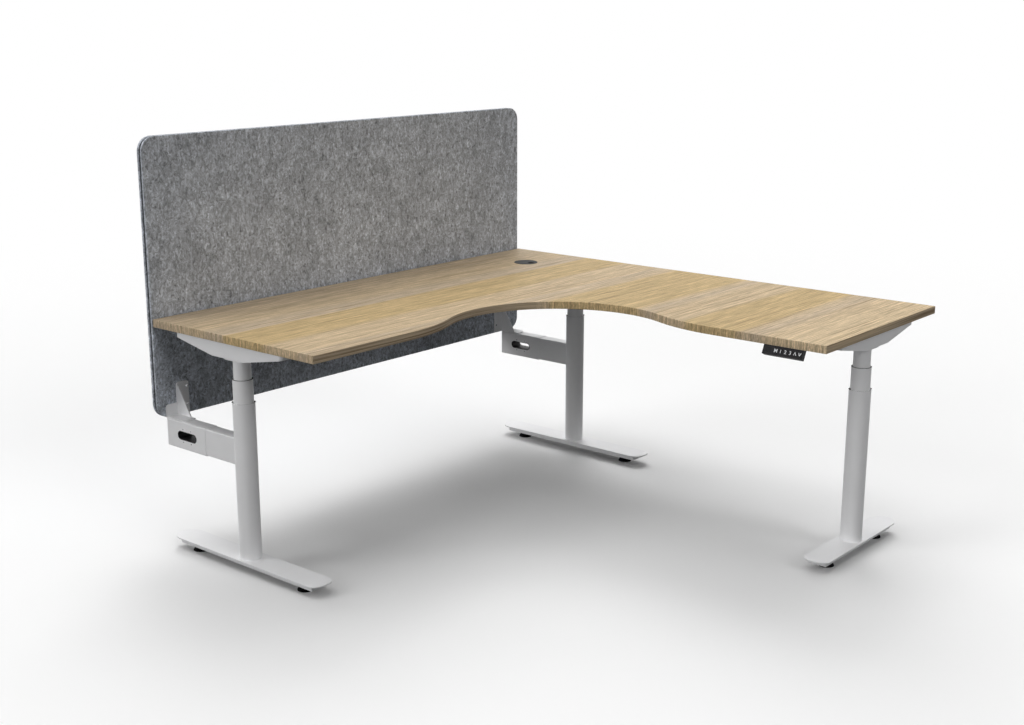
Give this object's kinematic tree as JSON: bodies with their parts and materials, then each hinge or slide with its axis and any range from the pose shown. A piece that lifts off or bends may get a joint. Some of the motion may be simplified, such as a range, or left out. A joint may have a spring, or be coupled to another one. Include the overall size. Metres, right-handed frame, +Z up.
{
  "type": "height-adjustable corner workstation",
  "caption": "L-shaped oak worktop with a swept user bay on telescopic columns with T-feet, a wired handset and a felt screen on arms behind it.",
  "frame": {"origin": "middle of the footprint of the whole workstation, on the floor", "axes": "+Z up, +Y toward the felt screen behind the long wing, +X toward the end that has the return wing"},
  "size_m": [1.8, 1.83, 1.331],
  "materials": {
    "white_steel": "fine satin powder coat, light grey white",
    "bare_steel": "zinc plated, dull",
    "oak_laminate": "light oak melamine with a matching edge band, satin",
    "grey_felt": "pressed grey felt with fine upright fibres",
    "black_plastic": "fine grained, matte black",
    "drive_plastic": "moulded housing, dark grey",
    "grommet_plastic": "satin dark grey",
    "key_plastic": "soft touch black with printed signs"
  },
  "bodies": {
    "stand": {"foot_left": "white_steel", "foot_corner": "white_steel", "foot_right": "white_steel", "outer_tube_left": "white_steel", "outer_tube_corner": "white_steel", "outer_tube_right": "white_steel", "outer_glides": "black_plastic", "foot_bolts": "bare_steel", "stand_screws": "bare_steel", "arm_beam_left": "white_steel", "arm_beam_corner": "white_steel"},
    "pad_left_rear": {"leveller_left_rear": "black_plastic"},
    "pad_left_front": {"leveller_left_front": "black_plastic"},
    "pad_corner_rear": {"leveller_corner_rear": "black_plastic"},
    "pad_corner_front": {"leveller_corner_front": "black_plastic"},
    "pad_right_inner": {"leveller_right_inner": "black_plastic"},
    "pad_right_outer": {"leveller_right_outer": "black_plastic"},
    "middle_stage_left": {"middle_tube_left": "white_steel"},
    "middle_stage_corner": {"middle_tube_corner": "white_steel"},
    "middle_stage_right": {"middle_tube_right": "white_steel"},
    "turning_screw_left": {"hollow_screw_left": "bare_steel"},
    "turning_screw_corner": {"hollow_screw_corner": "bare_steel"},
    "turning_screw_right": {"hollow_screw_right": "bare_steel"},
    "desk": {"worktop": "oak_laminate", "worktop_screws": "bare_steel", "side_bracket_left": "white_steel", "side_bracket_corner": "white_steel", "side_bracket_right": "white_steel", "inner_tube_left": "white_steel", "inner_tube_corner": "white_steel", "inner_tube_right": "white_steel", "nut_glides": "black_plastic", "drive_unit_left": "drive_plastic", "drive_unit_corner": "drive_plastic", "drive_unit_right": "drive_plastic", "rail_back": "white_steel", "rail_return": "white_steel", "control_box": "black_plastic", "handset_case": "black_plastic", "grommet_liner": "grommet_plastic"},
    "turning_tube_left": {"drive_tube_left": "bare_steel"},
    "turning_tube_corner": {"drive_tube_corner": "bare_steel"},
    "turning_tube_right": {"drive_tube_right": "bare_steel"},
    "button_memory": {"key_memory": "key_plastic"},
    "button_one": {"key_one": "key_plastic"},
    "button_two": {"key_two": "key_plastic"},
    "button_three": {"key_three": "key_plastic"},
    "button_up": {"key_up": "key_plastic"},
    "button_down": {"key_down": "key_plastic"},
    "cable_cap": {"grommet_cap": "grommet_plastic"},
    "screen": {"screen_front_felt": "grey_felt", "screen_core": "black_plastic", "screen_rear_felt": "grey_felt", "arm_sleeve_left": "white_steel", "arm_sleeve_corner": "white_steel", "screen_bracket_left": "white_steel", "screen_bracket_corner": "white_steel", "port_liner_left": "black_plastic", "port_liner_corner": "black_plastic", "screen_screws": "bare_steel"}
  },
  "joints": [
    {"name": "desk_lift", "type": "slide", "parent": "stand", "child": "desk", "axis": [0, 0, 1], "range_m": [-0.1, 0.5]},
    {"name": "middle_lift_left", "type": "slide", "parent": "stand", "child": "middle_stage_left", "axis": [0, 0, 1], "range_m": [-0.051, 0.251]},
    {"name": "middle_lift_corner", "type": "slide", "parent": "stand", "child": "middle_stage_corner", "axis": [0, 0, 1], "range_m": [-0.051, 0.251]},
    {"name": "middle_lift_right", "type": "slide", "parent": "stand", "child": "middle_stage_right", "axis": [0, 0, 1], "range_m": [-0.051, 0.251]},
    {"name": "screw_turn_left", "type": "hinge", "parent": "middle_stage_left", "child": "turning_screw_left", "pos_m": [-0.85, 0.515, 0.11], "axis": [0, 0, 1], "range_deg": [-1810, 9010]},
    {"name": "tube_turn_left", "type": "hinge", "parent": "desk", "child": "turning_tube_left", "pos_m": [-0.85, 0.515, 0.69], "axis": [0, 0, 1], "range_deg": [-1810, 9010]},
    {"name": "screw_turn_corner", "type": "hinge", "parent": "middle_stage_corner", "child": "turning_screw_corner", "pos_m": [0.808, 0.515, 0.11], "axis": [0, 0, 1], "range_deg": [-1810, 9010]},
    {"name": "tube_turn_corner", "type": "hinge", "parent": "desk", "child": "turning_tube_corner", "pos_m": [0.808, 0.515, 0.69], "axis": [0, 0, 1], "range_deg": [-1810, 9010]},
    {"name": "screw_turn_right", "type": "hinge", "parent": "middle_stage_right", "child": "turning_screw_right", "pos_m": [0.512, -0.853, 0.11], "axis": [0, 0, 1], "range_deg": [-1810, 9010]},
    {"name": "tube_turn_right", "type": "hinge", "parent": "desk", "child": "turning_tube_right", "pos_m": [0.512, -0.853, 0.69], "axis": [0, 0, 1], "range_deg": [-1810, 9010]},
    {"name": "pad_turn_left_rear", "type": "hinge", "parent": "stand", "child": "pad_left_rear", "pos_m": [-0.85, 0.768, 0.02], "axis": [0, 0, 1], "continuous": true},
    {"name": "pad_turn_left_front", "type": "hinge", "parent": "stand", "child": "pad_left_front", "pos_m": [-0.85, 0.262, 0.02], "axis": [0, 0, 1], "continuous": true},
    {"name": "pad_turn_corner_rear", "type": "hinge", "parent": "stand", "child": "pad_corner_rear", "pos_m": [0.808, 0.768, 0.02], "axis": [0, 0, 1], "continuous": true},
    {"name": "pad_turn_corner_front", "type": "hinge", "parent": "stand", "child": "pad_corner_front", "pos_m": [0.808, 0.262, 0.02], "axis": [0, 0, 1], "continuous": true},
    {"name": "pad_turn_right_inner", "type": "hinge", "parent": "stand", "child": "pad_right_inner", "pos_m": [0.349, -0.853, 0.02], "axis": [0, 0, 1], "continuous": true},
    {"name": "pad_turn_right_outer", "type": "hinge", "parent": "stand", "child": "pad_right_outer", "pos_m": [0.675, -0.853, 0.02], "axis": [0, 0, 1], "continuous": true},
    {"name": "press_memory", "type": "slide", "parent": "desk", "child": "button_memory", "axis": [0.8944, 0, -0.4472], "range_m": [0, 0.0008], "stiffness_N_per_m": 600, "springref_m": -0.0006},
    {"name": "press_one", "type": "slide", "parent": "desk", "child": "button_one", "axis": [0.8944, 0, -0.4472], "range_m": [0, 0.0008], "stiffness_N_per_m": 600, "springref_m": -0.0006},
    {"name": "press_two", "type": "slide", "parent": "desk", "child": "button_two", "axis": [0.8944, 0, -0.4472], "range_m": [0, 0.0008], "stiffness_N_per_m": 600, "springref_m": -0.0006},
    {"name": "press_three", "type": "slide", "parent": "desk", "child": "button_three", "axis": [0.8944, 0, -0.4472], "range_m": [0, 0.0008], "stiffness_N_per_m": 600, "springref_m": -0.0006},
    {"name": "press_up", "type": "slide", "parent": "desk", "child": "button_up", "axis": [0.8944, 0, -0.4472], "range_m": [0, 0.0008], "stiffness_N_per_m": 600, "springref_m": -0.0006},
    {"name": "press_down", "type": "slide", "parent": "desk", "child": "button_down", "axis": [0.8944, 0, -0.4472], "range_m": [0, 0.0008], "stiffness_N_per_m": 600, "springref_m": -0.0006},
    {"name": "cap_turn", "type": "hinge", "parent": "desk", "child": "cable_cap", "pos_m": [0.665, 0.65, 0.76], "axis": [0, 0, 1], "continuous": true},
    {"name": "screen_reach", "type": "slide", "parent": "stand", "child": "screen", "axis": [0, 1, 0], "range_m": [0, 0.08]}
  ],
  "couplings": [
    {"joint": "middle_lift_left", "follows": "desk_lift", "ratio": 0.5},
    {"joint": "middle_lift_corner", "follows": "desk_lift", "ratio": 0.5},
    {"joint": "middle_lift_right", "follows": "desk_lift", "ratio": 0.5},
    {"joint": "screw_turn_left", "follows": "desk_lift", "rad_per_m": 314.16},
    {"joint": "tube_turn_left", "follows": "desk_lift", "rad_per_m": 314.16},
    {"joint": "screw_turn_corner", "follows": "desk_lift", "rad_per_m": 314.16},
    {"joint": "tube_turn_corner", "follows": "desk_lift", "rad_per_m": 314.16},
    {"joint": "screw_turn_right", "follows": "desk_lift", "rad_per_m": 314.16},
    {"joint": "tube_turn_right", "follows": "desk_lift", "rad_per_m": 314.16}
  ]
}
